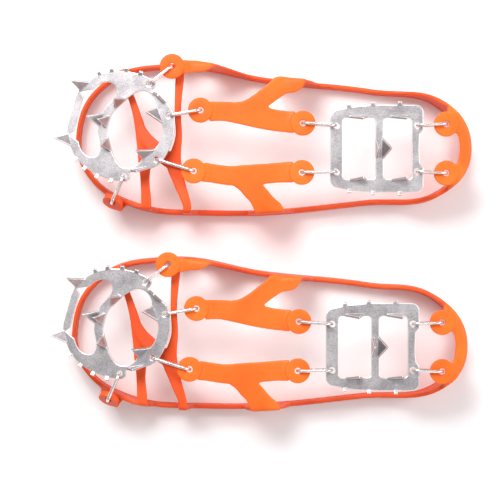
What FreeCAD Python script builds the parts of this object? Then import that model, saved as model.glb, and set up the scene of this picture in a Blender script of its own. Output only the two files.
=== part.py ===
"""A pair of pull-on ice cleats, lying sole side up as they look on two upturned boots.

Each cleat is a moulded rubber harness that grips the boot, with a toe plate and a heel
plate of stamped sheet steel hung across the sole on eight closed wire links.
X runs from toe to heel, Y across the boot, Z up and away from the sole. Millimetres.
The origin is the middle of the pair's box, on the surface that the harness rims rest on.
"""
import FreeCAD, Part
import math
import os

from FreeCAD import Placement, Rotation, Vector

os.makedirs("parts", exist_ok=True)

# ---- the pair ----
PAIR_PITCH = 145.0            # from one cleat to the other, across the boots
PAIR_STEP = 3.0               # how far the second cleat lies towards its toe
REACH = 200.0                 # a cutting shape this long passes everything it cuts
UP = Vector(0, 0, 1)

# ---- the boot that the harness is stretched over ----
SOLE_HEIGHT = 44.0            # from the harness rim to the sole, at the waist and heel
TOE_SPRING = 10.0             # slope of the sole under the toes, degrees
BEND_X = -60.0                # where the toe spring starts
TREAD = 7.2                   # the forefoot web lies this much lower, between the lugs
TOE_X = -141.0                # front of the harness
HEEL_X = 151.5                # back of the harness
FOREFOOT_IN = 55.0            # inner side of the forefoot, from the length axis
FOREFOOT_OUT = -58.0          # outer side of the forefoot
OUTLINE_STEPS = 12            # points in each quarter of a line inside the boot's outline

# ---- rubber ----
WALL = 3.0                    # rim band and risers
RIM_HEIGHT = 13.0             # band that runs right round the boot
STRAP = 2.6                   # straps that lie on the sole
TAB_THICK = 4.0               # eyelet discs
TAB_R = 9.1
SIDE_TAB_R = 7.6              # the eyelet that stands on the boot's side
SIDE_TAB_OFFSET = 2.6         # its hole sits this far from its middle
SIDE_FOOT = 4.5               # its foot stands this far out from the wall
HEEL_MIDDLE_Y = -10.2         # the heel's own length axis
HEEL_WINDOW = 34.0            # slot in the back of the heel cup
HEEL_WINDOW_R = 8.0

# ---- stamped plates ----
SHEET = 1.8
TOE_PLATE_LIFT = 3.0          # underside of the toe plate over the lugs
NUB_WIDTH = 3.0
NUB_LENGTH = 3.2
NUB_RISE = 30.0               # degrees

# ---- wire links ----
WIRE_R = 1.15
TAB_HOLE_R = WIRE_R + 1.25    # the wire turns freely in the eyelet
PLATE_HOLE_R = WIRE_R + 0.9   # and in the plate
LINK_HALF_HEIGHT = TAB_THICK / 2 + WIRE_R + 1.35      # middle of the ring to the middle of its wire
LINK_OVER = 0.3               # the bend sits this far past the middle of the eyelet
SIDE_TAB_TURN = 60.0          # how far round the bend the side eyelet hangs, degrees

# ---- toe plate, in its own axes: a towards the heel, b across ----
TOE_PLATE_TURN = -16.0        # the plate sits askew on the boot, degrees
TOE_PLATE_X = -32.8           # its middle, along the sloped sole from the bend
TOE_PLATE_Y = 3.6
TOE_HOLES = [(0.0, 34.8), (20.5, 16.7), (20.5, -16.7), (0.0, -34.8)]

# ---- heel plate, about its own middle ----
HEEL_PLATE_X = HEEL_X - 69.9
HEEL_PLATE_Y = HEEL_MIDDLE_Y
HEEL_HOLE_X = 29.6
HEEL_HOLE_Y = 16.9
HEEL_TAB_REACH = 21.3         # from a hole in the plate to the eyelet behind it
WINDOW_HALF = 22.4            # half the windows' height
WINDOWS = [(-24.9, -0.9), (5.0, 25.7)]
WINDOW_CORNER = 2.5

# ---- eyelets on the sole: x, y of each hole ----
TABS = {
    "toe_inner": (-67.9, FOREFOOT_IN - 5),
    "toe_inner_rear": (-47.2, 17.9),
    "toe_outer_rear": (-52.2, -26.5),
    "heel_inner_front": (27.8, 8.4),
    "heel_outer_front": (27.0, -27.6),
    "heel_inner_back": (HEEL_PLATE_X + HEEL_HOLE_X + HEEL_TAB_REACH, HEEL_MIDDLE_Y + 17.9),
    "heel_outer_back": (HEEL_PLATE_X + HEEL_HOLE_X + HEEL_TAB_REACH, HEEL_MIDDLE_Y - 17.9),
}
SIDE_TAB = (-111.5, FOREFOOT_OUT + 10.2, SOLE_HEIGHT - 8)
TAB_MIDDLE = SOLE_HEIGHT + TAB_THICK / 2


# ---------------------------------------------------------------- helpers
def curve(points):
    """Smooth edge through the points."""
    spline = Part.BSplineCurve()
    spline.interpolate([Vector(x, y, 0) for x, y in points])
    return spline.toShape()


def smooth_loop(points):
    """Closed line through the points, as four edges that meet smoothly. Points come in fours."""
    spline = Part.BSplineCurve()
    spline.interpolate([Vector(x, y, 0) for x, y in points], PeriodicFlag=True)
    knots = spline.getKnots()
    quarter = len(points) // 4
    edges = []
    for i in range(4):
        piece = spline.copy()
        piece.segment(knots[i * quarter], knots[(i + 1) * quarter])
        edges.append(piece.toShape())
    return edges


def line(start, end):
    return Part.LineSegment(Vector(*start, 0), Vector(*end, 0)).toShape()


def arc(start, middle, end):
    return Part.Arc(Vector(*start, 0), Vector(*middle, 0), Vector(*end, 0)).toShape()


def mirrored_face(half_edges):
    """Face from the edges of one half, and their mirror image across the a axis."""
    other_half = [edge.mirror(Vector(0, 0, 0), Vector(0, 1, 0)) for edge in half_edges]
    return Part.Face(Part.Wire(Part.__sortEdges__(half_edges + other_half)))


def slab(face, thickness):
    return face.extrude(UP * thickness)


def ribbon(stations):
    """Face of a strap. Stations along its middle are x, y and half width."""
    left = []
    right = []
    last = len(stations) - 1
    for i, (x, y, half) in enumerate(stations):
        before = stations[max(i - 1, 0)]
        after = stations[min(i + 1, last)]
        run = Vector(after[0] - before[0], after[1] - before[1], 0).normalize()
        left.append((x - run.y * half, y + run.x * half))
        right.append((x + run.y * half, y - run.x * half))
    edges = [curve(left), line(left[-1], right[-1]), curve(right), line(right[0], left[0])]
    return Part.Face(Part.Wire(Part.__sortEdges__(edges)))


def disc(x, y, radius, thickness, bottom=0.0):
    return Part.makeCylinder(radius, thickness, Vector(x, y, bottom))


def on_toe_slope(item):
    """Carry a shape or point drawn flat from the bend line onto the slope under the toes."""
    placement = Placement(Vector(BEND_X, 0, SOLE_HEIGHT - TREAD), Rotation(Vector(0, 1, 0), -TOE_SPRING))
    if isinstance(item, Vector):
        return placement.multVec(item)
    moved = item.copy()
    moved.Placement = placement.multiply(moved.Placement)
    return moved


# ---------------------------------------------------------------- harness
def boot_outline(inset=0.0):
    """Line round the rubber, seen from above, or a line that runs this far inside it."""
    edges = smooth_loop([
        (TOE_X, 1),
        (TOE_X + 19, FOREFOOT_IN - 15),
        (-70, FOREFOOT_IN),
        (5, FOREFOOT_IN - 11),
        (80, FOREFOOT_IN - 19),
        (HEEL_X - 19, 25),
        (HEEL_X, -10),
        (HEEL_X - 17, -41),
        (75, FOREFOOT_OUT + 7.5),
        (-40, FOREFOOT_OUT),
        (-103, FOREFOOT_OUT + 8),
        (TOE_X + 8, -28),
    ])
    if inset:
        inner = []
        for edge in edges:
            first, last = edge.ParameterRange
            for i in range(OUTLINE_STEPS):
                at = first + (last - first) * i / OUTLINE_STEPS
                point = edge.valueAt(at) + edge.tangentAt(at).cross(UP) * inset
                inner.append((point.x, point.y))
        edges = smooth_loop(inner)
    return Part.Wire(edges)


def boot_wall(height, outward=0.0):
    """Wall round the boot, made thicker on its outside by outward."""
    outside = slab(Part.Face(boot_outline(-outward)), height)
    return outside.cut(slab(Part.Face(boot_outline(WALL)), height))


def riser(wall, profile, side):
    """Part of the wall inside a profile of x, z points, on one side of the boot."""
    corners = [Vector(x, 0, z) for x, z in profile]
    face = Part.Face(Part.makePolygon(corners + corners[:1]))
    return wall.common(face.extrude(Vector(0, side * REACH, 0)))


def above_toe_slope():
    """Everything over the straps on the sloped part of the sole."""
    block = Part.makeBox(REACH, 2 * REACH, REACH, Vector(-REACH, -REACH, STRAP))
    return on_toe_slope(block)


def side_eyelet_axes():
    """Normal of the disc that stands on the boot's side, and its direction away from the sole."""
    along, across, up = ring_axes(Vector(*SIDE_TAB), plate_hole_points()["toe_outer"], SIDE_TAB_TURN)
    turn = math.radians(SIDE_TAB_TURN)
    normal = up * math.cos(turn) - along * math.sin(turn)
    outward = along * -math.cos(turn) - up * math.sin(turn)
    return normal, outward


def side_eyelet():
    """Disc square to the wire in its hole, with the hole near its free edge."""
    normal, outward = side_eyelet_axes()
    middle = Vector(*SIDE_TAB) + outward * SIDE_TAB_OFFSET
    return Part.makeCylinder(SIDE_TAB_R, TAB_THICK, middle - normal * (TAB_THICK / 2), normal)


def side_eyelet_hole():
    normal, outward = side_eyelet_axes()
    start = Vector(*SIDE_TAB) - normal * (1.5 * TAB_THICK)
    return Part.makeCylinder(TAB_HOLE_R, 3 * TAB_THICK, start, normal)


def heel_window():
    """Slot through the back of the heel cup, over the rim band."""
    half = HEEL_WINDOW / 2 - HEEL_WINDOW_R
    middle = RIM_HEIGHT + HEEL_WINDOW_R
    x = HEEL_X - HEEL_WINDOW
    slot = Part.makeBox(REACH, 2 * half, 2 * HEEL_WINDOW_R, Vector(x, HEEL_MIDDLE_Y - half, RIM_HEIGHT))
    ends = [Part.makeCylinder(HEEL_WINDOW_R, REACH, Vector(x, y, middle), Vector(1, 0, 0))
            for y in (HEEL_MIDDLE_Y - half, HEEL_MIDDLE_Y + half)]
    return slot.multiFuse(ends)


def sole_straps():
    """The two Y straps of the waist and the strap that holds the inner toe eyelet."""
    inner_toe = TABS["toe_inner_rear"]
    inner_heel = TABS["heel_inner_front"]
    outer_toe = TABS["toe_outer_rear"]
    outer_heel = TABS["heel_outer_front"]
    toe_inner = TABS["toe_inner"]
    return [
        ribbon([(*inner_toe, 6.6), (-36, 17.4, 7.3), (-20, 16.8, 7.6), (7, 11, 8.3), (*inner_heel, 8.0)]),
        ribbon([(-12, 17, 7.0), (-3, 24, 6.7), (9, FOREFOOT_IN - 21, 7.5), (20, FOREFOOT_IN - 10, 13)]),
        ribbon([(*outer_toe, 6.6), (-36, -28.6, 6.9), (-20, -29.5, 7.6), (-2, -28.6, 8.0),
                (*outer_heel, 7.8)]),
        ribbon([(-20, -33, 6.5), (-9, -41.5, 7.5), (1, FOREFOOT_OUT + 7, 8.5), (5, FOREFOOT_OUT - 2, 11)]),
        ribbon([(*toe_inner, 7.5), (-55, FOREFOOT_IN - 4, 6.0), (-42, FOREFOOT_IN - 1, 6.0)]),
    ]


def forefoot_web():
    """Straps that cross the sole under the toe plate, drawn on the toe slope."""
    return [
        ribbon([(-48, FOREFOOT_IN + 1, 2.6), (-37, 19.5, 2.6), (-32.5, 3.5, 3.7), (-29.5, -18.5, 4.5),
                (-28.5, -34, 3.2), (-28, FOREFOOT_OUT, 3.8)]),
        ribbon([(-2.8, FOREFOOT_IN + 1, 3.0), (-4.5, 19.5, 2.5), (-3.5, 0, 2.4), (-5.8, -12.5, 3.8),
                (-7.5, -21, 5.5), (-3.5, -34, 4.4), (1, -48, 3.4), (5, FOREFOOT_OUT - 4, 2.8)]),
        ribbon([(-32, 4, 3.0), (-22.8, -8.4, 5.0), (-14.7, -15.7, 5.5), (-7, -20.5, 5.0)]),
    ]


def heel_straps():
    """C piece over the back of the heel, with an arm to each of its two eyelets."""
    back_x = HEEL_X - 7.7
    past_x = HEEL_X + 5
    inner = TABS["heel_inner_back"]
    outer = TABS["heel_outer_back"]
    back = Part.makePlane(past_x - back_x, 48, Vector(back_x, HEEL_MIDDLE_Y - 24, 0))
    return [
        back,
        ribbon([(*inner, 7.5), (HEEL_X - 13, inner[1] + 3.3, 6.5), (past_x, inner[1] + 14.3, 9.5)]),
        ribbon([(*outer, 7.5), (HEEL_X - 13, outer[1] - 3.4, 6.5), (past_x, outer[1] - 13.9, 9.5)]),
    ]


def harness():
    top = SOLE_HEIGHT + STRAP
    tall_wall = boot_wall(top).cut(above_toe_slope())
    body = boot_wall(RIM_HEIGHT)
    low = RIM_HEIGHT - 1
    tab_x = SIDE_TAB[0]
    tab_foot = SIDE_TAB[2] - 5
    side_foot = [(tab_x - 7, low), (tab_x - 6, tab_foot), (tab_x + 6, tab_foot), (tab_x + 7, low)]
    heel_cup = [(HEEL_X - 46, low), (HEEL_X - 26, top), (HEEL_X + 1, top), (HEEL_X + 1, low)]
    risers = [
        riser(tall_wall, [(-112, low), (-112, top), (-101, top), (-101, low)], 1),
        riser(tall_wall, [(-66, top), (-40, top), (0, low), (-34, low), (-70, SOLE_HEIGHT - 6)], 1),
        riser(tall_wall, [(-2, low), (8, top), (36, top), (50, low)], 1),
        riser(tall_wall, [(tab_x - 11, low), (tab_x - 8, tab_foot), (tab_x + 8, tab_foot), (-95, top),
                          (-83, top), (-76, low)], -1),
        riser(tall_wall, [(-63, low), (-59, top), (-50, top), (-44, low)], -1),
        riser(tall_wall, [(-20, low), (-8, top), (18, top), (32, low)], -1),
        riser(tall_wall, heel_cup, 1),
        riser(tall_wall, heel_cup, -1),
        riser(boot_wall(top, SIDE_FOOT), side_foot, -1),
    ]
    inside = slab(Part.Face(boot_outline(WALL / 2)), top + STRAP)
    flat = [slab(face, STRAP) for face in sole_straps() + heel_straps()]
    straps = [solid.translate(UP * SOLE_HEIGHT).common(inside) for solid in flat]
    web = [on_toe_slope(slab(face, STRAP)).common(inside) for face in forefoot_web()]
    discs = [disc(x, y, TAB_R, TAB_THICK, SOLE_HEIGHT) for x, y in TABS.values()]
    body = body.multiFuse(risers + straps + web + discs + [side_eyelet()])
    holes = [disc(x, y, TAB_HOLE_R, 4 * TAB_THICK, SOLE_HEIGHT - TAB_THICK) for x, y in TABS.values()]
    for hole in holes + [side_eyelet_hole(), heel_window()]:
        body = body.cut(hole)
    return body.removeSplitter()


# ---------------------------------------------------------------- plates
def spike(start, end, tip, height, inward):
    """Triangle of sheet folded up from an edge of the plate.

    start and end are the ends of its root, tip is its point seen from above, and
    inward is a direction that leads from the root back over the sheet.
    """
    a = Vector(*start, 0)
    b = Vector(*end, 0)
    c = Vector(*tip, SHEET + height)
    face = Part.Face(Part.makePolygon([a, b, c, a]))
    normal = (b - a).cross(c - a).normalize()
    if normal.dot(Vector(*inward, 0)) < 0:
        normal = normal * -1
    return face.extrude(normal * SHEET)


def nub(x, y, degrees):
    """Small anti-slip tooth on the outer edge, bent a little upwards."""
    block = Part.makeBox(NUB_LENGTH + SHEET, NUB_WIDTH, SHEET, Vector(-SHEET, -NUB_WIDTH / 2, 0))
    block.rotate(Vector(0, 0, 0), Vector(0, 1, 0), -NUB_RISE)
    block.rotate(Vector(0, 0, 0), UP, degrees)
    return block.translate(Vector(x, y, 0))


def toe_plate_outline():
    return mirrored_face([
        curve([(28.3, 0), (27.2, 9), (24.3, 18), (19, 23.8)]),
        line((19, 23.8), (3.3, 31.4)),
        arc((3.3, 31.4), (5, 35.3), (0.5, 38.8)),
        curve([(0.5, 38.8), (-13.4, 40), (-27, 37.5), (-38.5, 31.5), (-44, 25.5)]),
        line((-44, 25.5), (-49.8, 16.5)),
        line((-49.8, 16.5), (-50.8, 11)),
        line((-50.8, 11), (-50.8, 0)),
    ])


def toe_front_window():
    """Crescent between the front bar and the inner band, with a notch by each big spike."""
    return mirrored_face([
        line((-45.4, 0), (-45, 13)),
        line((-45, 13), (-48, 16.3)),
        line((-48, 16.3), (-39.5, 20)),
        curve([(-39.5, 20), (-35.5, 25.3), (-29, 28.2), (-23.2, 26), (-22.2, 20.5), (-25.5, 13), (-27.8, 6)]),
        line((-27.8, 6), (-27.8, 0)),
    ])


def toe_rear_window():
    return mirrored_face([
        line((-21.3, 0), (-21, 6)),
        curve([(-21, 6), (-17.5, 13.5), (-12.5, 21)]),
        curve([(-12.5, 21), (-9, 25), (-3, 28.8), (4, 27.5), (9.6, 19.5)]),
        line((9.6, 19.5), (17.4, 9)),
        curve([(17.4, 9), (19, 4.6), (19.3, 0)]),
    ])


def toe_plate():
    plate = slab(toe_plate_outline(), SHEET)
    plate = plate.cut(slab(toe_front_window(), SHEET))
    plate = plate.cut(slab(toe_rear_window(), SHEET))
    teeth = [
        spike((-27.8, -5.6), (-27.8, 5.6), (-37.5, 0), 9, (1, 0)),
        spike((-21.2, -5.2), (-21.2, 5.2), (-27.5, 0), 10, (-1, 0)),
    ]
    for side in (1, -1):
        teeth += [
            spike((-44.2, 25.2 * side), (-49.6, 16.8 * side), (-56.5, 22.5 * side), 9.5, (1, -side)),
            spike((-19.2, 10 * side), (-12.9, 20.3 * side), (-20, 17.5 * side), 9, (-1, side)),
            spike((9.9, 19 * side), (17.2, 9.3 * side), (5, 14 * side), 9, (1, side)),
            spike((4.2, 31 * side), (17, 24.8 * side), (11, 29.6 * side), 8, (-1, -side)),
        ]
        for a, b, degrees in [(-37.8, 32, 125), (-29.5, 36.5, 113), (-19, 39.6, 98), (-8, 39.9, 87)]:
            teeth.append(nub(a, b * side, degrees * side))
    plate = plate.multiFuse(teeth)
    for a, b in TOE_HOLES:
        plate = plate.cut(disc(a, b, PLATE_HOLE_R, SHEET))
    return plate.removeSplitter()


def toe_plate_placement():
    return Placement(Vector(TOE_PLATE_X, TOE_PLATE_Y, TREAD + TOE_PLATE_LIFT),
                     Rotation(UP, TOE_PLATE_TURN))


def heel_plate_outline():
    return mirrored_face([
        line((-34.1, 0), (-34.1, 22)),
        arc((-34.1, 22), (-32.3, 26.6), (-28, 28.6)),
        curve([(-28, 28.6), (-12, 31.2), (5, 32), (28.5, 32)]),
        arc((28.5, 32), (32.6, 30.4), (34.2, 26.3)),
        line((34.2, 26.3), (34.2, 14)),
        line((34.2, 14), (31.5, 10.5)),
        line((31.5, 10.5), (31.1, 0)),
    ])


def window(left, right):
    """Rounded opening in the heel plate."""
    block = Part.makeBox(right - left, 2 * WINDOW_HALF, SHEET, Vector(left, -WINDOW_HALF, 0))
    upright = [edge for edge in block.Edges if abs(edge.tangentAt(edge.FirstParameter).z) > 0.9]
    return block.makeFillet(WINDOW_CORNER, upright)


def heel_plate():
    plate = slab(heel_plate_outline(), SHEET)
    for left, right in WINDOWS:
        plate = plate.cut(window(left, right))
    bar_left = WINDOWS[0][1]
    bar_right = WINDOWS[1][0]
    teeth = [
        spike((bar_left, -8), (bar_left, 8), (bar_left + 1.4, 0), 10, (1, 0)),
        spike((bar_right, -8), (bar_right, 8), (bar_right + 6.5, 0), 8, (-1, 0)),
    ]
    for side in (1, -1):
        edge = WINDOW_HALF * side
        tip = (WINDOW_HALF - 2) * side
        teeth += [
            spike((-21.3, edge), (-6.8, edge), (-10, tip), 9, (0, side)),
            spike((8.6, edge), (23, edge), (21.5, tip), 9, (0, side)),
        ]
        for x, y in [(-20, 30), (-2.6, 31.5), (17, 31.9)]:
            teeth.append(nub(x, y * side, 90 * side))
    plate = plate.multiFuse(teeth)
    for x in (HEEL_HOLE_X, -HEEL_HOLE_X):
        for y in (HEEL_HOLE_Y, -HEEL_HOLE_Y):
            plate = plate.cut(disc(x, y, PLATE_HOLE_R, SHEET))
    return plate.removeSplitter()


def heel_plate_placement():
    return Placement(Vector(HEEL_PLATE_X, HEEL_PLATE_Y, TAB_MIDDLE - SHEET / 2), Rotation())


def plate_hole_points():
    """Middle of each link hole in the plates, by the name of its link."""
    toe = [on_toe_slope(toe_plate_placement().multVec(Vector(a, b, SHEET / 2))) for a, b in TOE_HOLES]
    corners = [(-1, 1), (-1, -1), (1, 1), (1, -1)]
    heel = [heel_plate_placement().multVec(Vector(i * HEEL_HOLE_X, j * HEEL_HOLE_Y, SHEET / 2))
            for i, j in corners]
    return {
        "toe_inner": toe[0],
        "toe_inner_rear": toe[1],
        "toe_outer_rear": toe[2],
        "toe_outer": toe[3],
        "heel_inner_front": heel[0],
        "heel_outer_front": heel[1],
        "heel_inner_back": heel[2],
        "heel_outer_back": heel[3],
    }


# ---------------------------------------------------------------- links
def tab_points():
    points = {name: Vector(x, y, TAB_MIDDLE) for name, (x, y) in TABS.items()}
    points["toe_outer"] = Vector(*SIDE_TAB)
    return points


def ring_axes(tab, hole, turn):
    """Unit vectors of a ring: along it to the plate, its hinge axis, and up in its plane.

    turn is how far round the ring's bend the eyelet hangs, 0 at the very end.
    """
    reach = hole - tab
    level = Vector(reach.x, reach.y, 0)
    slope = math.atan2(reach.z, level.Length)
    slope -= math.asin(LINK_HALF_HEIGHT * math.sin(math.radians(turn)) / reach.Length)
    level.normalize()
    along = level * math.cos(slope) + UP * math.sin(slope)
    across = UP.cross(level)
    return along, across, along.cross(across)


def link(tab, hole, turn):
    """Closed ring of wire from the eyelet in the harness to the hole in the plate."""
    along, across, up = ring_axes(tab, hole, turn)
    r = LINK_HALF_HEIGHT
    angle = math.radians(turn)
    over = LINK_OVER if turn == 0 else 0.0
    near = tab + along * (r * math.cos(angle) - over) + up * (r * math.sin(angle))
    far = hole - along * r
    path = Part.Wire([
        Part.LineSegment(near + up * r, far + up * r).toShape(),
        Part.Arc(far + up * r, hole, far - up * r).toShape(),
        Part.LineSegment(far - up * r, near - up * r).toShape(),
        Part.Arc(near - up * r, near - along * r, near + up * r).toShape(),
    ])
    section = Part.Wire([Part.makeCircle(WIRE_R, near + up * r, along)])
    return path.makePipeShell([section], True, False)


# ---------------------------------------------------------------- assembly
def cleat():
    """Node name and shape of every piece of one cleat."""
    pieces = {"harness": harness()}
    toe = toe_plate()
    toe.Placement = toe_plate_placement()
    pieces["toe_plate"] = on_toe_slope(toe)
    heel = heel_plate()
    heel.Placement = heel_plate_placement()
    pieces["heel_plate"] = heel
    holes = plate_hole_points()
    for name, tab in tab_points().items():
        turn = SIDE_TAB_TURN if name == "toe_outer" else 0.0
        pieces["link_" + name] = link(tab, holes[name], turn)
    return pieces


def first_offset(pieces):
    """Move that puts the first cleat in its place about the pair's middle."""
    box = Part.Compound(list(pieces.values())).optimalBoundingBox(True, False)
    return Vector(PAIR_STEP / 2 - box.Center.x, PAIR_PITCH / 2 - box.Center.y, 0)


def joint_table():
    """Hinge place and axis of each link, and the ratio that couples it to its plate."""
    holes = plate_hole_points()
    table = {}
    for name, tab in tab_points().items():
        reach = holes[name] - tab
        level = Vector(reach.x, reach.y, 0)
        axis = level.cross(UP).normalize()
        table[name] = (tab, axis, 1000.0 / level.Length)
    return table


CLEAT = cleat()
OFFSET = first_offset(CLEAT)
STEP = Vector(-PAIR_STEP, -PAIR_PITCH, 0)


def export():
    for number, offset in ((1, OFFSET), (2, OFFSET + STEP)):
        for name, shape in CLEAT.items():
            placed = shape.copy()
            placed.translate(offset)
            placed.exportStep("parts/%s_%d.step" % (name, number))


def report():
    for name, shape in CLEAT.items():
        box = shape.BoundBox
        print("%-24s %8.0f mm3  %d solid  valid %s  x %.1f..%.1f y %.1f..%.1f z %.1f..%.1f" % (
            name, shape.Volume, len(shape.Solids), shape.isValid(),
            box.XMin, box.XMax, box.YMin, box.YMax, box.ZMin, box.ZMax))
    print("offset of the first cleat", OFFSET)


export()
report()
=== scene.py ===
# %% [markdown]
# A pair of pull-on ice cleats, lying sole side up
#
# Each cleat is one rubber moulding that stretches over a boot, two spiked steel plates that
# lie across the sole, and eight closed wire links that hang the plates in the rubber.
# The steel plates and links have exact shapes already, so this lesson rounds their edges and
# gives them their finish. The rubber is soft and blends from strap to strap, so it is
# modelled here from the start. Sizes are in millimetres, and are turned into metres only
# when a vertex is placed.

# %% Load the frame that everything is built around
import bpy
import math
from mathutils import Matrix, Vector


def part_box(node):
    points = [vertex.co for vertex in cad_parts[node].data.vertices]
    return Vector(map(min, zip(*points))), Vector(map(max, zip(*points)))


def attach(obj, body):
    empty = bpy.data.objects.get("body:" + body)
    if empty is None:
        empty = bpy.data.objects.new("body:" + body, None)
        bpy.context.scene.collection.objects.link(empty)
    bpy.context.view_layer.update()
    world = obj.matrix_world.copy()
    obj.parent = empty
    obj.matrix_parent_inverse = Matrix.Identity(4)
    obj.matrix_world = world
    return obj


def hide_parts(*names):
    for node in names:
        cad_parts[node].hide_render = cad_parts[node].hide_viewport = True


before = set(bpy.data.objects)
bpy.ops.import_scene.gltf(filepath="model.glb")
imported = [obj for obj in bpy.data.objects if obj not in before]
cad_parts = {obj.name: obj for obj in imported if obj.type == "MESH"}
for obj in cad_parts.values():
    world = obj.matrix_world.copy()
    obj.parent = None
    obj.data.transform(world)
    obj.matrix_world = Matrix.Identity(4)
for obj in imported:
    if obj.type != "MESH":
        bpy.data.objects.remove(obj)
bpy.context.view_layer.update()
MM = 0.001                    # a millimetre, in metres
MERGE = 1e-6                  # vertices nearer than this are one, in metres


def in_mm(v):
    """A vector in metres as rounded millimetres, to print."""
    return [round(c / MM, 1) for c in v]


# %% [markdown]
# Where one cleat's own axes lie
#
# The harness was designed about the boot's length axis, with the middle of the heel plate at
# a known place. The middle of that plate's box in the frame tells where the axes are, and the
# same plate of the second cleat tells how far away its copy lies.

# %% Find the cleat's axes and the step to its twin
HEEL_PLATE_MIDDLE = Vector((81.65, -10.2, 0))     # in the cleat's own axes


def middle(node):
    low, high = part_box(node)
    return (low + high) / 2


def level(v):
    return Vector((v.x, v.y, 0))


ORIGIN = level(middle("heel_plate_1")) / MM - HEEL_PLATE_MIDDLE
STEP = level(middle("heel_plate_2") - middle("heel_plate_1"))
print("the cleat's axes start at", in_mm(ORIGIN * MM), "and its twin lies", in_mm(STEP), "away")

# %% [markdown]
# Sizes that several pieces share
#
# In the cleat's own axes x runs from toe to heel, y across towards the boot's inner side, and
# z up from the rim to the sole. The rubber is thin where it only lies on the boot, and
# thickest in the eyelets, where the links pull on it.

# %% Shared sizes
SOLE = 44.0                   # height of the boot's sole over the rim
STRAP = 2.6                   # rubber on the sole
TOP = SOLE + STRAP / 2        # middle of a strap's thickness
WALL = 3.0                    # rubber round the boot
RIM = 13.0                    # height of the band round the boot
DISC = 4.0                    # thickness of an eyelet
EYELETS = {
    "toe_inner": (-67.9, 50.0),
    "toe_inner_rear": (-47.2, 17.9),
    "toe_outer_rear": (-52.2, -26.5),
    "heel_inner_front": (27.8, 8.4),
    "heel_outer_front": (27.0, -27.6),
    "heel_inner_back": (132.5, 7.7),
    "heel_outer_back": (132.5, -28.1),
}
print(len(EYELETS), "eyelets lie on the sole,", SOLE, "mm over the rim")

# %% [markdown]
# Small tools
#
# An operator works on whatever is selected, and the loaded nodes start out selected. So the
# first tool clears the selection and picks one object. The others add a fresh grid or
# circle, apply modifiers and join pieces, which is what you would do with the mouse.

# %% Selecting, adding, applying, joining
def pick(*objects):
    bpy.ops.object.select_all(action="DESELECT")
    for o in objects:
        o.select_set(True)
    bpy.context.view_layer.objects.active = objects[0]
    return objects[0]


def edit_all(o):
    """Open a piece in edit mode, with all of it selected."""
    pick(o)
    bpy.ops.object.mode_set(mode="EDIT")
    bpy.ops.mesh.select_all(action="SELECT")


def new_grid(along, across):
    """A grid of cells that reaches from -1 to 1 both ways. Its vertices are laid later."""
    bpy.ops.object.select_all(action="DESELECT")
    bpy.ops.mesh.primitive_grid_add(x_subdivisions=along, y_subdivisions=across, size=2)
    return bpy.context.object


def new_circle(count):
    """A closed ring of edges. Its vertices are laid later."""
    bpy.ops.object.select_all(action="DESELECT")
    bpy.ops.mesh.primitive_circle_add(vertices=count, radius=1)
    return bpy.context.object


def modify(o, kind, **settings):
    """Add a modifier and apply it."""
    pick(o)
    modifier = o.modifiers.new(kind.title(), kind)
    for name, value in settings.items():
        setattr(modifier, name, value)
    bpy.ops.object.modifier_apply(modifier=modifier.name)
    return o


def thicken(o, thickness):
    """Give a sheet its thickness in mm, half to each side."""
    return modify(o, "SOLIDIFY", thickness=thickness * MM, offset=0)


def fuse(o, voxel, rounds):
    """Remesh a piece into one skin at a voxel size in mm, and melt its corners a little."""
    modify(o, "REMESH", mode="VOXEL", voxel_size=voxel * MM)
    modify(o, "SMOOTH", factor=0.5, iterations=rounds)
    bpy.ops.object.shade_smooth()
    print(o.name, len(o.data.polygons), "faces")
    return o


def join(name, objects):
    o = pick(*objects)
    if len(objects) > 1:
        bpy.ops.object.join()
    o.name = o.data.name = name
    return o


def place(x, y, z):
    """A point in the cleat's own axes, in mm, as a point of the frame, in metres."""
    return (Vector((x, y, z)) + ORIGIN) * MM


# %% [markdown]
# Writing shader maths as sums
#
# A grain or a stain is a formula. The small class below wraps a node's socket, so that
# `noise * 0.4 + 0.3` adds the Math nodes for it, and `node` adds any other kind of node.

# %% The shader kit
class Socket:
    def __init__(self, tree, link):
        self.tree = tree
        self.link = link

    def node(self, kind, inputs=None, output=0, **settings):
        """Any node: its settings are set first, then its sockets get their values or links."""
        n = self.tree.nodes.new(kind)
        for name, value in settings.items():
            setattr(n, name, value)
        for name, value in (inputs or {}).items():
            if isinstance(value, Socket):
                self.tree.links.new(value.link, n.inputs[name])
            else:
                n.inputs[name].default_value = value
        return Socket(self.tree, n.outputs[output])

    def maths(self, operation, a, b):
        return self.node("ShaderNodeMath", {0: a, 1: b}, operation=operation)

    def __add__(self, other):
        return self.maths("ADD", self, other)

    __radd__ = __add__

    def __mul__(self, other):
        return self.maths("MULTIPLY", self, other)

    __rmul__ = __mul__

    def __sub__(self, other):
        return self.maths("SUBTRACT", self, other)

    def __rsub__(self, other):
        return self.maths("SUBTRACT", other, self)

    def between(self, low, high):
        """0 below low, 1 above high, smooth between."""
        return self.node("ShaderNodeMapRange", {"Value": self, "From Min": low, "From Max": high},
                         interpolation_type="SMOOTHSTEP")

    def noise(self, size, detail=3.0, roughness=0.5):
        """Noise with features of a given size in mm."""
        return self.node("ShaderNodeTexNoise", {"Vector": self, "Scale": 1 / (size * MM),
                                                "Detail": detail, "Roughness": roughness})

    def mix(self, a, b):
        """Colour a where this is 0, and b where it is 1."""
        return self.node("ShaderNodeMix", {"Factor": self, 6: a, 7: b}, output=2, data_type="RGBA")


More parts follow.
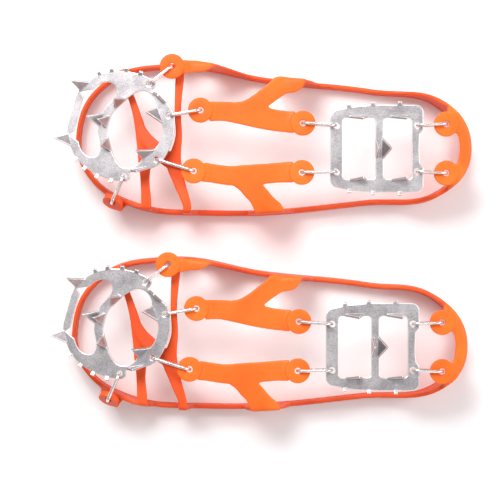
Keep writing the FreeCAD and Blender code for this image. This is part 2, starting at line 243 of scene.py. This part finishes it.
def material(name, **constants):
    """A new material: its object coordinates, and a way to link to its shader."""
    m = bpy.data.materials.new(name)
    m.use_nodes = True
    tree = m.node_tree
    shader = tree.nodes["Principled BSDF"]
    for socket, value in constants.items():
        shader.inputs[socket.replace("_", " ")].default_value = value
    coordinates = Socket(tree, tree.nodes.new("ShaderNodeTexCoord").outputs["Object"])

    def feed(socket, value):
        tree.links.new(value.link, shader.inputs[socket])

    return m, coordinates, feed


def pointiness(at):
    """Above a half on sharp edges, and below it in creases."""
    return at.node("ShaderNodeNewGeometry", output="Pointiness")


def bump(height, distance, strength):
    """A height turned into a bumpy surface, with its depth in mm."""
    return height.node("ShaderNodeBump", {"Height": height, "Distance": distance * MM,
                                          "Strength": strength})


def finish_with(o, m):
    """Give a piece one material."""
    o.data.materials.clear()
    o.data.materials.append(m)
    return o


# %% [markdown]
# Orange rubber
#
# The harness is injection-moulded elastomer. Its skin is satin rather than matt: it has a very
# fine orange peel, wide soft patches where the colour drifts, and dust that settles as a
# paler bloom. Those are noise on object coordinates, at three sizes. The lower walls and the
# creases are painted a deeper orange than the straps on the sole: that is painted shade.

# %% Rubber
# Painted shade: the wall oranges are darker copies of the sole oranges, for the lower walls.
PAINTED_SHADE_WALL_ORANGES = (0.74, 0.072, 0.010, 1), (0.84, 0.098, 0.016, 1)
LIT_SOLE_ORANGES = (0.88, 0.125, 0.009, 1), (0.95, 0.165, 0.014, 1)
# Painted shade: creases are darkened to this orange.
PAINTED_CREASE_SHADE = (0.60, 0.050, 0.006, 1)
BLOOM = (1.0, 0.30, 0.09, 1)
# Painted shade: below these heights the rubber takes the darker, shaded tone.
SHADE_TO_LIT_HEIGHTS = 0.038, 0.045   # heights between which the tone changes, in metres


def make_rubber():
    m, at, feed = material("orange_rubber", IOR=1.45, Specular_IOR_Level=0.38)
    drift = at.noise(size=38, detail=2).between(0.3, 0.7)
    peel = at.noise(size=0.55, detail=2, roughness=0.6)
    waves = at.noise(size=9, detail=2)
    specks = at.noise(size=2.2, detail=4, roughness=0.7).between(0.60, 0.72)
    # Painted shade in the creases, which Pointiness finds.
    crease_shade = pointiness(at).between(0.40, 0.52)
    # Painted shade by height: the low walls darker, the sole lighter.
    height = at.node("ShaderNodeSeparateXYZ", {"Vector": at}, output="Z").between(*SHADE_TO_LIT_HEIGHTS)
    height_shade_orange = height.mix(drift.mix(*PAINTED_SHADE_WALL_ORANGES), drift.mix(*LIT_SOLE_ORANGES))
    shaded_orange = crease_shade.mix(PAINTED_CREASE_SHADE, height_shade_orange)
    feed("Base Color", (specks * 0.18).mix(shaded_orange, BLOOM))
    feed("Roughness", 0.36 + drift * 0.08 + peel * 0.14)
    feed("Normal", bump(peel + waves * 0.8, distance=0.09, strength=0.55))
    return m


rubber = make_rubber()
print("made", rubber.name, "with", len(rubber.node_tree.nodes), "nodes")

# %% [markdown]
# Tumbled stainless sheet
#
# The plates are stamped and then tumbled with grit to take off the burrs. That leaves a dull
# silver skin, peppered with tiny darker pits and crossed by a few scuffs, and brighter metal
# where edges and points have rubbed. The edges are rounded in the mesh, so Pointiness finds
# them, and they are made paler and a little shinier: partly rubbed wear, partly a painted
# highlight along the edges.

# %% Steel
TUMBLED = (0.31, 0.285, 0.30, 1), (0.66, 0.63, 0.645, 1)
SCUFFED = (0.84, 0.82, 0.81, 1)
PITTED = (0.22, 0.195, 0.205, 1)
# Edge colour: partly rubbed wear, and partly a painted highlight along the edges.
RUBBED_AND_PAINTED_HIGHLIGHT = (0.96, 0.95, 0.94, 1)
SCUFF_TURN = 0.6              # direction of the scuffs, in radians from x
SCUFF_STRETCH = 9             # a scuff is this many times as long as it is wide


def make_steel():
    m, at, feed = material("tumbled_steel", Metallic=1.0)
    cloud = at.noise(size=14, detail=3, roughness=0.55)
    grain = at.noise(size=0.8, detail=4, roughness=0.8)
    pits = at.noise(size=0.7, detail=3, roughness=0.65).between(0.57, 0.70)
    stretched = at.node("ShaderNodeMapping", {"Vector": at, "Rotation": (0, 0, SCUFF_TURN),
                                              "Scale": (1, SCUFF_STRETCH, SCUFF_STRETCH)})
    scuffs = stretched.noise(size=7, detail=4, roughness=0.65).between(0.58, 0.70)
    # Edge mask for the rubbed wear and the painted edge highlight.
    edge = pointiness(at).between(0.502, 0.535)
    tone = (cloud * 0.6 + grain * 1.1 - 0.5).between(0.10, 0.60)
    worn = (scuffs * 0.4).mix(tone.mix(*TUMBLED), SCUFFED)
    pitted = (pits * 0.55).mix(worn, PITTED)
    feed("Base Color", (edge * 0.8).mix(pitted, RUBBED_AND_PAINTED_HIGHLIGHT))
    feed("Roughness", 0.40 + grain * 0.16 + pits * 0.15 - scuffs * 0.08 - edge * 0.12)
    feed("Normal", bump(grain * 0.6 + cloud * 0.5 - pits * 0.6, distance=0.06, strength=0.8))
    return m


steel = make_steel()
print("made", steel.name, "with", len(steel.node_tree.nodes), "nodes")

# %% [markdown]
# Polished wire
#
# The links are drawn wire, bent into rings and welded shut. Drawn wire is smooth, so it has
# no bump: it mirrors the lights, and only its tone and gloss drift a little from handling.

# %% Wire
WIRE_TONES = (0.72, 0.70, 0.69, 1), (0.92, 0.91, 0.90, 1)


def make_wire():
    m, at, feed = material("polished_wire", Metallic=1.0)
    cloud = at.noise(size=7, detail=3, roughness=0.6)
    feed("Base Color", cloud.between(0.3, 0.7).mix(*WIRE_TONES))
    feed("Roughness", 0.20 + cloud * 0.12)
    return m


wire = make_wire()
print("made", wire.name, "with", len(wire.node_tree.nodes), "nodes")

# %% [markdown]
# The line round the boot
#
# The rubber follows the boot's outline. A Bezier circle is given the outline's twelve
# points, with automatic handles that make it smooth, and turned into a mesh. Asking that
# mesh for its y at a given x later tells each strap where the boot's side is.

# %% Boot outline
OUTLINE = [
    (-141, 1), (-122, 40), (-70, 55), (5, 44), (80, 36), (132.5, 25),
    (151.5, -10), (134.5, -41), (75, -50.5), (-40, -58), (-103, -50), (-133, -28),
]
OUTLINE_STEPS = 24            # pieces of the smooth line from one point to the next


def make_outline():
    bpy.ops.object.select_all(action="DESELECT")
    bpy.ops.curve.primitive_bezier_circle_add(radius=1)
    curve = bpy.context.object.data
    points = curve.splines[0].bezier_points
    points.add(len(OUTLINE) - len(points))
    curve.dimensions = "3D"
    for point, (x, y) in zip(points, OUTLINE):
        point.co = (x, y, 0)
        point.handle_left_type = point.handle_right_type = "AUTO"
    curve.resolution_u = OUTLINE_STEPS
    bpy.ops.object.convert(target="MESH")
    line = [v.co.copy() for v in bpy.context.object.data.vertices]
    bpy.data.objects.remove(bpy.context.object)
    return line


outline = make_outline()
print("the outline has", len(outline), "points")


def inward(i):
    """Direction from point i of the outline into the boot."""
    along = outline[(i + 1) % len(outline)] - outline[i - 1]
    return Vector((along.y, -along.x, 0)).normalized()


def side_y(x, side):
    """y of the outline at x, on the inner side (1) or the outer side (-1)."""
    best = None
    for a, b in zip(outline, outline[1:] + outline[:1]):
        if (a.x - x) * (b.x - x) <= 0 and abs(a.x - b.x) > 1e-9:
            y = a.y + (b.y - a.y) * (x - a.x) / (b.x - a.x)
            if best is None or y * side > best * side:
                best = y
    return best


def wall_y(x, side):
    """y of the middle of the rubber round the boot."""
    return side_y(x, side) - side * WALL / 2


# %% [markdown]
# A strap as a bent ribbon
#
# Every strap is a ribbon that runs along a smooth line and changes width. A grid is added,
# its long side is laid along the line and its short side across it, and Solidify gives it
# its thickness. Between the given stations, a Catmull-Rom curve keeps the line and
# the width flowing. A station is x, y and z, half the width, and how far the ribbon has leaned
# over from the sole, 0, onto the side of the boot, 1, where it hugs the outline. The strap
# rises in a low step where it comes to an eyelet, as the mould makes it.

# %% Strap
CELLS_PER_STATION = 12
CELLS_ACROSS = 10
LOOK = 0.01                   # how far along a strap to look for its direction
STEP_R = 11.8                 # where a strap starts to rise towards an eyelet
STEP_HEIGHT = 0.6


def flow(stations, t):
    """Catmull-Rom value of every column of the stations, at t from 0 to 1."""
    last = len(stations) - 1
    i = min(int(t * last), last - 1)
    u = t * last - i
    rows = [stations[min(max(i + k, 0), last)] for k in (-1, 0, 1, 2)]
    weights = (
        (-u + 2 * u ** 2 - u ** 3) / 2,
        (2 - 5 * u ** 2 + 3 * u ** 3) / 2,
        (u + 4 * u ** 2 - 3 * u ** 3) / 2,
        (-u ** 2 + u ** 3) / 2,
    )
    return [sum(w * row[c] for w, row in zip(weights, rows)) for c in range(len(rows[0]))]


def keep_inside(p):
    """Move a point that lies past the middle of the wall back onto it."""
    nearest = min(range(len(outline)), key=lambda i: (outline[i] - level(p)).length_squared)
    depth = (level(p) - outline[nearest]).dot(inward(nearest))
    return p + inward(nearest) * max(0.0, WALL / 2 - depth)


def eyelet_step(p):
    """How much the strap rises near an eyelet."""
    nearest = min(math.hypot(p.x - x, p.y - y) for x, y in EYELETS.values())
    return STEP_HEIGHT * min(1.0, max(0.0, STEP_R - nearest))


def fold_over(p, side, ceiling):
    """Fold what stands up past the sole's edge over onto the sole."""
    past = max(0.0, p.z - ceiling)
    p.y -= side * past
    p.z -= past


def ribbon_point(stations, t, v):
    """Point of the ribbon at t along it and v, from -1 to 1, across it."""
    x, y, z, half, lean = flow(stations, t)
    ahead = Vector(flow(stations, min(t + LOOK, 1))[:3])
    behind = Vector(flow(stations, max(t - LOOK, 0))[:3])
    side = 1 if y > 0 else -1
    normal = Vector((0, side * lean, 1 - lean))
    across = normal.cross(ahead - behind).normalized()
    p = Vector((x, y, z)) + across * half * v
    p.y += (wall_y(p.x, side) - p.y) * min(1.0, max(0.0, lean))
    heights = [station[2] for station in stations]
    leans = [station[4] for station in stations]
    if min(leans) < 1:
        fold_over(p, side, max(heights))
    p.z += eyelet_step(p) * (1 - lean)
    return keep_inside(p)


def strap(stations, thickness=STRAP):
    ribbon = new_grid(CELLS_PER_STATION * (len(stations) - 1), CELLS_ACROSS)
    for vertex in ribbon.data.vertices:
        vertex.co = place(*ribbon_point(stations, (vertex.co.x + 1) / 2, vertex.co.y))
    return thicken(ribbon, thickness)


# %% [markdown]
# The rim band
#
# The band that hugs the boot's upper is the outline swept upwards. A circle's vertices are
# laid on the outline and extruded up in small steps, and Solidify thickens the band. Its lower
# edge carries a bead, as moulded bands do so that they don't tear.

# %% Rim band and bead
BAND_LEVELS = [0.9, RIM / 3, RIM * 2 / 3, RIM - 0.5]
BEAD_LEVELS = [1.1, 3.6]
BEAD_WALL = WALL + 1.4


def loop_band(heights, thickness):
    """Band along the middle of the wall, through each of the heights."""
    band = new_circle(len(outline))
    for i, vertex in enumerate(band.data.vertices):
        p = outline[i] + inward(i) * WALL / 2
        vertex.co = place(p.x, p.y, heights[0])
    edit_all(band)
    for low, high in zip(heights, heights[1:]):
        bpy.ops.mesh.extrude_edges_move(TRANSFORM_OT_translate={"value": (0, 0, (high - low) * MM)})
    bpy.ops.object.mode_set(mode="OBJECT")
    return thicken(band, thickness)


rim = [loop_band(BAND_LEVELS, WALL), loop_band(BEAD_LEVELS, BEAD_WALL)]
print("the rim band reaches", BAND_LEVELS[-1], "mm up, and its bead is", BEAD_WALL, "mm thick")

# %% [markdown]
# The heel cup
#
# At the heel the rubber climbs the back of the boot, turns over the sole's edge and ends in
# a C on the sole. It is one strip whose upper edge rises from the band, so a grid is laid
# along the outline and up that path, and given its thickness. A slot through the back is cut
# with a Boolean: a block with fully rounded ends is taken away from the wall.

# %% Path of the heel cup
CUP_FRONT = 98.0              # where the cup starts to rise
CUP_FULL = 145.0              # where it reaches the sole
CUP_CELLS = 56                # cells up the cup
C_REACH = 5.4                 # how far the C reaches over the sole, past the bend
BEND_R = 2.3
BEND_SHARE = 0.1              # the last part of the rise, over which the C turns in


def cup_path(share, s):
    """Inset and height at s, from 0 to 1, up a cup that has risen by a share of its height."""
    full = max(0.0, share - (1 - BEND_SHARE)) / BEND_SHARE
    top = RIM + (TOP - BEND_R - RIM) * share
    climb = top - RIM / 2
    bend = BEND_R * math.pi / 2 * full
    reach = C_REACH * full
    d = s * (climb + bend + reach)
    if d <= climb:
        return 0.0, RIM / 2 + d
    if d <= climb + bend:
        angle = (d - climb) / BEND_R
        return BEND_R * (1 - math.cos(angle)), top + BEND_R * math.sin(angle)
    return BEND_R + d - climb - bend, top + BEND_R


print("inset and height of the C's edge:", [round(v, 1) for v in cup_path(1, 1)])

# %% The slot, and the cup itself
SLOT_MIDDLE = (150.0, -10.2, 21.0)
SLOT_HALF = (20.0, 17.0, 8.0)         # its half depth passes the wall well on both sides
SLOT_ROUND = SLOT_HALF[2] * 0.98      # just under the half height, so that the arcs don't meet
SLOT_SEGMENTS = 12


def cut_slot(cup):
    """Take a block with rounded ends away from the back of the cup."""
    bpy.ops.object.select_all(action="DESELECT")
    bpy.ops.mesh.primitive_cube_add(size=2)
    block = bpy.context.object
    for vertex in block.data.vertices:
        vertex.co = place(*(m + h * c for m, h, c in zip(SLOT_MIDDLE, SLOT_HALF, vertex.co)))
    bpy.ops.object.mode_set(mode="EDIT")
    bpy.ops.mesh.select_mode(type="EDGE")
    bpy.ops.mesh.select_all(action="DESELECT")
    bpy.ops.object.mode_set(mode="OBJECT")
    for edge in block.data.edges:
        a, b = (block.data.vertices[i].co for i in edge.vertices)
        edge.select = abs(a.x - b.x) > SLOT_HALF[0] * MM
    bpy.ops.object.mode_set(mode="EDIT")
    bpy.ops.mesh.bevel(offset=SLOT_ROUND * MM, segments=SLOT_SEGMENTS)
    bpy.ops.object.mode_set(mode="OBJECT")
    modify(cup, "BOOLEAN", operation="DIFFERENCE", solver="EXACT", object=block)
    bpy.data.objects.remove(block)
    return cup


def make_heel_cup():
    ring = [i for i, p in enumerate(outline) if p.x > CUP_FRONT]
    columns = len(ring) - 1
    cup = new_grid(columns, CUP_CELLS)
    for vertex in cup.data.vertices:
        i = ring[round((vertex.co.x + 1) / 2 * columns)]
        s = (vertex.co.y + 1) / 2
        p = outline[i]
        rise = min(1.0, max(0.0, (p.x - CUP_FRONT) / (CUP_FULL - CUP_FRONT)))
        inset, z = cup_path(rise * rise * (3 - 2 * rise), s)
        p = p + inward(i) * (WALL / 2 + inset)
        vertex.co = place(p.x, p.y, z)
    return cut_slot(thicken(cup, WALL))


heel_cup = make_heel_cup()
print("the heel cup has", len(heel_cup.data.polygons), "faces")

# %% [markdown]
# The foot of the side eyelet
#
# One eyelet stands on the boot's outer side, clear of the wall. A tongue flares out from the
# rim band to carry it. Its stations are x, height, half width, and how far it stands out.

# %% Side foot
FOOT_STATIONS = [
    (-109.5, 8, 10, 0), (-110.3, 15, 8.4, 1.4), (-111.5, 22, 7.4, 4.4), (-112.6, 28, 7.0, 7.3),
    (-112.6, 31.5, 6.2, 6.7),
]


def make_side_foot():
    tongue = new_grid(CELLS_PER_STATION * (len(FOOT_STATIONS) - 1), CELLS_ACROSS)
    for vertex in tongue.data.vertices:
        x, z, half, out = flow(FOOT_STATIONS, (vertex.co.x + 1) / 2)
        x += half * vertex.co.y
        vertex.co = place(x, wall_y(x, -1) - out, z)
    return thicken(tongue, WALL)


side_foot = make_side_foot()
print("the side foot stands", max(station[3] for station in FOOT_STATIONS), "mm out")

# %% [markdown]
# Straps on the sole
#
# Two Y straps cross the waist, and one strap holds the inner toe eyelet. Each is a list of
# stations, read like a route: along the sole, over the edge, down to the rim. A strap starts
# inside its eyelet's rim, never at the hole.

# %% Routes of the straps
def on_sole(points):
    return [(x, y, TOP, half, 0.0) for x, y, half in points]


EDGE_RUN = 6.0                # a strap lies flat until this far from the sole's edge
TURN_INSET = 0.9              # half turned, it is this far from the edge
TURN_DROP = 1.4               # and this far down
HUG_DROP = 7                  # it hugs the boot from this far down
FOOT = 7.0                    # height at which it ends, inside the rim band


def over_side(x_edge, x_foot, side, half_edge, half_foot, top=TOP):
    """Stations that carry a strap over the sole's edge and down the boot to the rim band."""
    edge = wall_y(x_edge, side)
    x_mid = (x_edge + x_foot) / 2
    return [
        (x_edge, edge - EDGE_RUN * side, top, half_edge, 0.0),
        (x_edge * 0.95 + x_foot * 0.05, edge - TURN_INSET * side, top - TURN_DROP, half_edge, 0.5),
        (x_edge * 0.8 + x_foot * 0.2, edge, top - HUG_DROP, half_edge, 1.0),
        (x_mid, wall_y(x_mid, side), (top + FOOT) / 2, (half_edge + half_foot) / 2, 1.0),
        (x_foot, wall_y(x_foot, side), FOOT, half_foot, 1.0),
    ]


WAIST_INNER = on_sole([(-41, 17.0, 7.3), (-30, 17.1, 7.1), (-16, 15.3, 8.0), (-4, 12.9, 8.3),
                       (7, 10.6, 7.9), (16, 9.5, 7.8), (22, 9.0, 7.9)])
WAIST_OUTER = on_sole([(-46, -27.2, 7.1), (-38, -28.3, 6.9), (-26, -29.9, 7.1), (-12, -29.6, 7.7),
                       (4, -28.2, 7.3), (14, -27.5, 7.5), (21, -27.3, 7.7)])
ARM_INNER = on_sole([(-24, 17.5, 6.0), (-14, 19.3, 5.8), (-5.5, 23.2, 6.5), (0, 27.2, 6.6),
                     (7, 32.6, 6.8), (12.5, 37, 8.0)])
ARM_OUTER = on_sole([(-32, -29.3, 6.2), (-22, -31.2, 6.2), (-14.5, -35, 7.0), (-9, -40, 7.7),
                     (-3.5, -46.3, 7.9)])
TOE_ARM = on_sole([(-62.5, 50.2, 6.3), (-56, 50.6, 5.6)])
straps = [strap(route) for route in (
    WAIST_INNER,
    WAIST_OUTER,
    ARM_INNER + over_side(x_edge=19, x_foot=23, side=1, half_edge=10.5, half_foot=19)[1:],
    ARM_OUTER + over_side(x_edge=3, x_foot=5, side=-1, half_edge=10.5, half_foot=19)[1:],
    TOE_ARM + over_side(x_edge=-46, x_foot=-22, side=1, half_edge=6.5, half_foot=12)[1:],
)]
print(len(straps), "straps on the sole")

# %% [markdown]
# The web under the toes
#
# A thinner web crosses the forefoot lower down, between the lugs of the tread, where the sole
# slopes up towards the toes. Its front and rear strands each run from rim to rim, a bridge
# joins them, and two short straps on the boot's side meet at the foot of the side eyelet.

# %% Routes of the web
SLOPE = math.radians(10)      # toe spring
BEND_X = -60.0                # where it starts
TREAD = 7.2                   # how far the web lies under the eyelets


def strand_height(x):
    """Height of a strand's middle, between the lugs, at x."""
    return SOLE - TREAD + (x - BEND_X) * math.tan(SLOPE) + STRAP / 2


def on_slope(points):
    return [(x, y, strand_height(x), half, 0.0) for x, y, half in points]


def on_side(points):
    """Stations on the boot's outer side: x, height and half width."""
    return [(x, wall_y(x, -1), z, half, 1.0) for x, z, half in points]


def strand(inner, middle_points, outer):
    """Stations from the inner rim, over the sole's slope, to the outer rim.

    Each end is x at the edge and at the foot, and half the width at the edge and at the foot.
    """
    def end(side, x_edge, x_foot, half_edge, half_foot):
        return over_side(x_edge, x_foot, side, half_edge, half_foot, strand_height(x_edge))

    return end(1, *inner)[::-1] + on_slope(middle_points) + end(-1, *outer)


FRONT = strand((-106, -106, 3.2, 6.5),
               [(-101, 34, 2.5), (-95.5, 19, 2.8), (-91.5, 3, 4.0), (-88.8, -18, 4.6),
                (-88.3, -34, 3.4)],
               (-87.5, -86, 3.8, 8))
REAR = strand((-62.2, -62, 3.4, 6),
              [(-64, 20, 2.5), (-63.3, 0, 2.5), (-65.3, -12, 3.8), (-66.8, -21, 5.5),
               (-63.2, -34, 4.4)],
              (-57.5, -55, 3.2, 6.5))
BRIDGE = on_slope([(-91, 6, 2.6), (-87, -2, 4.2), (-81, -9, 5.2), (-74, -15.8, 5.6),
                   (-67.5, -20.5, 5.2)])
SIDE_ARM = on_side([(-113, 15, 5.0), (-106, 18, 6.5), (-97, 24, 7.5), (-88, 31, 7.0)])
SIDE_LEG = on_side([(-106, 17, 8.0), (-104, 12, 10.0), (-102, 7.5, 13.0)])
web = [strap(route) for route in (FRONT, REAR, BRIDGE, SIDE_ARM, SIDE_LEG)]
print(len(web), "strands in the web")

# %% [markdown]
# The arms of the heel cup
#
# The C of the heel cup ends in two broad arms, one to each rear eyelet. They are as thick as
# the cup and widen towards it. Their stations are written once, for both sides.

# %% Heel arms
ARM_STATIONS = [(134.5, 0.4, 7.2), (138.5, 1.0, 7.4), (142.5, 1.4, 8.2), (147.0, 1.6, 9.6)]


def make_heel_arm(side, eyelet):
    """Arm of one side. A station is x, how far it lies outside the eyelet, and half width."""
    y = EYELETS[eyelet][1]
    return strap(on_sole([(x, y + out * side, half) for x, out, half in ARM_STATIONS]), WALL)


heel_arms = [make_heel_arm(1, "heel_inner_back"), make_heel_arm(-1, "heel_outer_back")]
print(len(heel_arms), "heel arms", WALL, "mm thick")

# %% [markdown]
# One moulding out of many parts
#
# The parts overlap, but the real harness is one moulding with soft corners where straps meet.
# Joining them and remeshing at less than a millimetre fuses them into one skin, and a few
# rounds of smoothing melt its corners to the radius that a mould has.

# %% Fuse and smooth the harness
BODY_VOXEL = 0.8
BODY_ROUNDS = 5
body = join("harness_body_1", rim + [heel_cup, side_foot] + straps + web + heel_arms)
finish_with(fuse(body, BODY_VOXEL, BODY_ROUNDS), rubber)

# %% [markdown]
# Eyelet discs
#
# Each link hangs in a thick disc of rubber. A disc could be a circle that is filled, inset
# and extruded, with its rims bevelled. Here it is turned on a lathe instead, which gives the
# same shape in fewer steps: a profile of a few points is spun round the hole's axis.

# %% Lathe
SPIN_STEPS = 48
ROUND_STEPS = 4               # pieces of each rounded corner
CORNER_LIMIT = 0.45           # a corner takes at most this share of the sides beside it


def rounded(corners, radius):
    """Profile of (r, z) corners, each one rounded by a Bezier arc."""
    out = []
    count = len(corners)
    for i, corner in enumerate(corners):
        b = Vector(corner)
        a = Vector(corners[i - 1])
        c = Vector(corners[(i + 1) % count])
        cut = min(radius, (a - b).length * CORNER_LIMIT, (c - b).length * CORNER_LIMIT)
        start = b + (a - b).normalized() * cut
        end = b + (c - b).normalized() * cut
        for k in range(ROUND_STEPS + 1):
            t = k / ROUND_STEPS
            out.append(start * (1 - t) ** 2 + b * 2 * t * (1 - t) + end * t ** 2)
    return out


def lathe(profile, centre, axis):
    """Closed ring: the profile spun round an axis through a point, both in the cleat's axes."""
    ring = new_circle(len(profile))
    for vertex, (r, z) in zip(ring.data.vertices, profile):
        vertex.co = Vector((r, 0, z)) * MM
    edit_all(ring)
    bpy.ops.mesh.spin(steps=SPIN_STEPS, angle=math.tau, center=(0, 0, 0), axis=(0, 0, 1))
    bpy.ops.mesh.select_all(action="SELECT")
    bpy.ops.mesh.remove_doubles(threshold=MERGE)
    bpy.ops.mesh.normals_make_consistent(inside=False)
    bpy.ops.object.mode_set(mode="OBJECT")
    turn = Vector((0, 0, 1)).rotation_difference(axis).to_matrix().to_4x4()
    ring.data.transform(Matrix.Translation(place(*centre)) @ turn)
    pick(ring)
    bpy.ops.object.shade_smooth()
    return ring


# %% Seven discs on the sole
DISC_R = 9.1
HOLE_R = 2.4
DISC_ROUND = 0.8              # radius of a disc's rims


def disc_profile(radius):
    half = DISC / 2
    return rounded([(HOLE_R, -half), (radius, -half), (radius, half), (HOLE_R, half)], DISC_ROUND)


discs = [lathe(disc_profile(DISC_R), (x, y, SOLE + DISC / 2), Vector((0, 0, 1)))
         for x, y in EYELETS.values()]
eyelets = finish_with(join("eyelets_1", discs), rubber)
print(eyelets.name, "has", len(eyelets.data.polygons), "faces")

# %% The disc on the boot's side
SIDE_HOLE = Vector((-111.5, -47.8, 36.0))
SIDE_R = 7.6
SIDE_OFFSET = 2.6             # from its hole to its middle
SIDE_NORMAL = Vector((-0.351, -0.805, 0.479)).normalized()
SIDE_OUTWARD = Vector((-0.191, -0.439, -0.878)).normalized()


def make_side_eyelet():
    """Its hole lies towards the sole, so each ring round the hole slides off by its size."""
    disc = lathe(disc_profile(SIDE_R), SIDE_HOLE, SIDE_NORMAL)
    hole = place(*SIDE_HOLE)
    for vertex in disc.data.vertices:
        arm = vertex.co - hole
        arm -= SIDE_NORMAL * arm.dot(SIDE_NORMAL)
        share = (arm.length / MM - HOLE_R) / (SIDE_R - HOLE_R)
        vertex.co += SIDE_OUTWARD * SIDE_OFFSET * MM * share
    disc.name = disc.data.name = "side_eyelet_1"
    return finish_with(disc, rubber)


side_eyelet = make_side_eyelet()
print("the side eyelet's hole is at", in_mm(place(*SIDE_HOLE)))

# %% [markdown]
# Plates and links
#
# A blank is stamped, its teeth are folded up, and it is tumbled, so no edge stays razor sharp.
# A copy of each plate is fused at a third of a millimetre and smoothed twice, which rounds
# every edge and tooth the way tumbling does. The links are fused more finely and smoothed
# more, so that their bends are round and their highlights run along them unbroken.

# %% Copies of the steel pieces
PLATE_VOXEL = 0.32
PLATE_ROUNDS = 2
WIRE_VOXEL = 0.2
WIRE_ROUNDS = 8


def copy_of(node, name):
    """A new object with a merged copy of a node's mesh."""
    o = bpy.data.objects.new(name, bpy.data.objects[node].data.copy())
    bpy.context.scene.collection.objects.link(o)
    o.data.name = name
    edit_all(o)
    bpy.ops.mesh.remove_doubles(threshold=MERGE)
    bpy.ops.object.mode_set(mode="OBJECT")
    return o


def make_plate(node):
    return finish_with(fuse(copy_of(node, node + "_tumbled"), PLATE_VOXEL, PLATE_ROUNDS), steel)


def make_link(node):
    return finish_with(fuse(copy_of(node, node + "_wire"), WIRE_VOXEL, WIRE_ROUNDS), wire)


LINKS = ["toe_inner", "toe_inner_rear", "toe_outer_rear", "toe_outer",
         "heel_inner_front", "heel_outer_front", "heel_inner_back", "heel_outer_back"]
plates = {name: make_plate(name + "_1") for name in ("toe_plate", "heel_plate")}
links = {"link_" + name: make_link("link_" + name + "_1") for name in LINKS}
print(len(plates), "plates and", len(links), "links")

# %% [markdown]
# The second cleat
#
# The two cleats are alike, so the second is a copy of every finished piece, moved by the step
# between them. Each copy has a mesh of its own, and the move is made in the mesh, so that every
# object stays at the origin.

# %% Copy, ride and replace
rubber_pieces = [body, eyelets, side_eyelet]
steel_pieces = {**plates, **links}


def twin(piece):
    o = bpy.data.objects.new(piece.name.replace("_1", "_2"), piece.data.copy())
    bpy.context.scene.collection.objects.link(o)
    o.data.name = o.name
    o.data.transform(Matrix.Translation(STEP))
    return o


for number in (1, 2):
    harness_node = "harness_%d" % number
    for piece in rubber_pieces:
        o = piece if number == 1 else twin(piece)
        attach(o, harness_node)
        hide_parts(harness_node)
    for name, piece in steel_pieces.items():
        node = "%s_%d" % (name, number)
        o = piece if number == 1 else twin(piece)
        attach(o, node)
        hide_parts(node)
print("two cleats of", len(rubber_pieces) + len(steel_pieces), "visible pieces each")

# %% [markdown]
# A floor, lights and the camera
#
# The pair lies on a plain pale sweep. A large soft light hangs over the far side, a weaker
# one fills from the near side, a third catches the heels, and the world adds an even grey, so
# that steel has something to mirror. The camera looks straight down from far away with a long
# lens, because a short one would show the two cleats from different sides.

# %% Floor
FLOOR_SIZE = 6                # metres
PALE = (0.93, 0.93, 0.94, 1)


def make_floor():
    bpy.ops.object.select_all(action="DESELECT")
    bpy.ops.mesh.primitive_plane_add(size=FLOOR_SIZE, location=(0, 0, 0))
    o = bpy.context.object
    o.name = "floor"
    matt, _, _ = material("pale_floor", Base_Color=PALE, Roughness=0.9, Specular_IOR_Level=0.1)
    finish_with(o, matt)
    return o


floor = make_floor()
print("the floor is", FLOOR_SIZE, "m wide")


# %% Lights
def soft_light(name, corner, size, power):
    """A rectangular light of a size in metres, aimed at the middle of the pair."""
    data = bpy.data.lights.new(name, "AREA")
    data.shape = "RECTANGLE"
    data.size, data.size_y = size
    data.energy = power
    o = bpy.data.objects.new(name, data)
    bpy.context.scene.collection.objects.link(o)
    o.location = corner
    o.rotation_euler = (-Vector(corner)).to_track_quat("-Z", "Y").to_euler()
    return o


lights = [
    soft_light("key", (-0.40, 0.85, 1.10), (0.9, 0.8), 24),
    soft_light("fill", (0.55, -0.9, 0.9), (1.0, 0.8), 4.0),
    soft_light("rim", (1.1, 0.2, 0.8), (0.6, 0.9), 7.0),
]
WORLD_STRENGTH = 0.42
world = bpy.data.worlds.new("studio")
bpy.context.scene.world = world
world.use_nodes = True
background = world.node_tree.nodes["Background"]
background.inputs["Color"].default_value = (1.0, 1.0, 1.0, 1)
background.inputs["Strength"].default_value = WORLD_STRENGTH
bpy.context.scene.view_settings.view_transform = "Standard"
print(len(lights), "lights, and a world of strength", WORLD_STRENGTH)

# %% Camera
VIEW_WIDTH = 0.365            # metres across the view
VIEW_HEIGHT = 1.5             # from the eyelets to the lens
SENSOR = 36                   # width of the camera's sensor, in mm
EYE = Vector((-0.0074, -0.0122, (SOLE + DISC) * MM + VIEW_HEIGHT))
camera_data = bpy.data.cameras.new("camera")
camera_data.sensor_width = SENSOR
camera_data.lens = SENSOR * VIEW_HEIGHT / VIEW_WIDTH
camera = bpy.data.objects.new("camera", camera_data)
bpy.context.scene.collection.objects.link(camera)
camera.location = EYE
bpy.context.scene.camera = camera
print("lens", round(camera_data.lens), "mm")
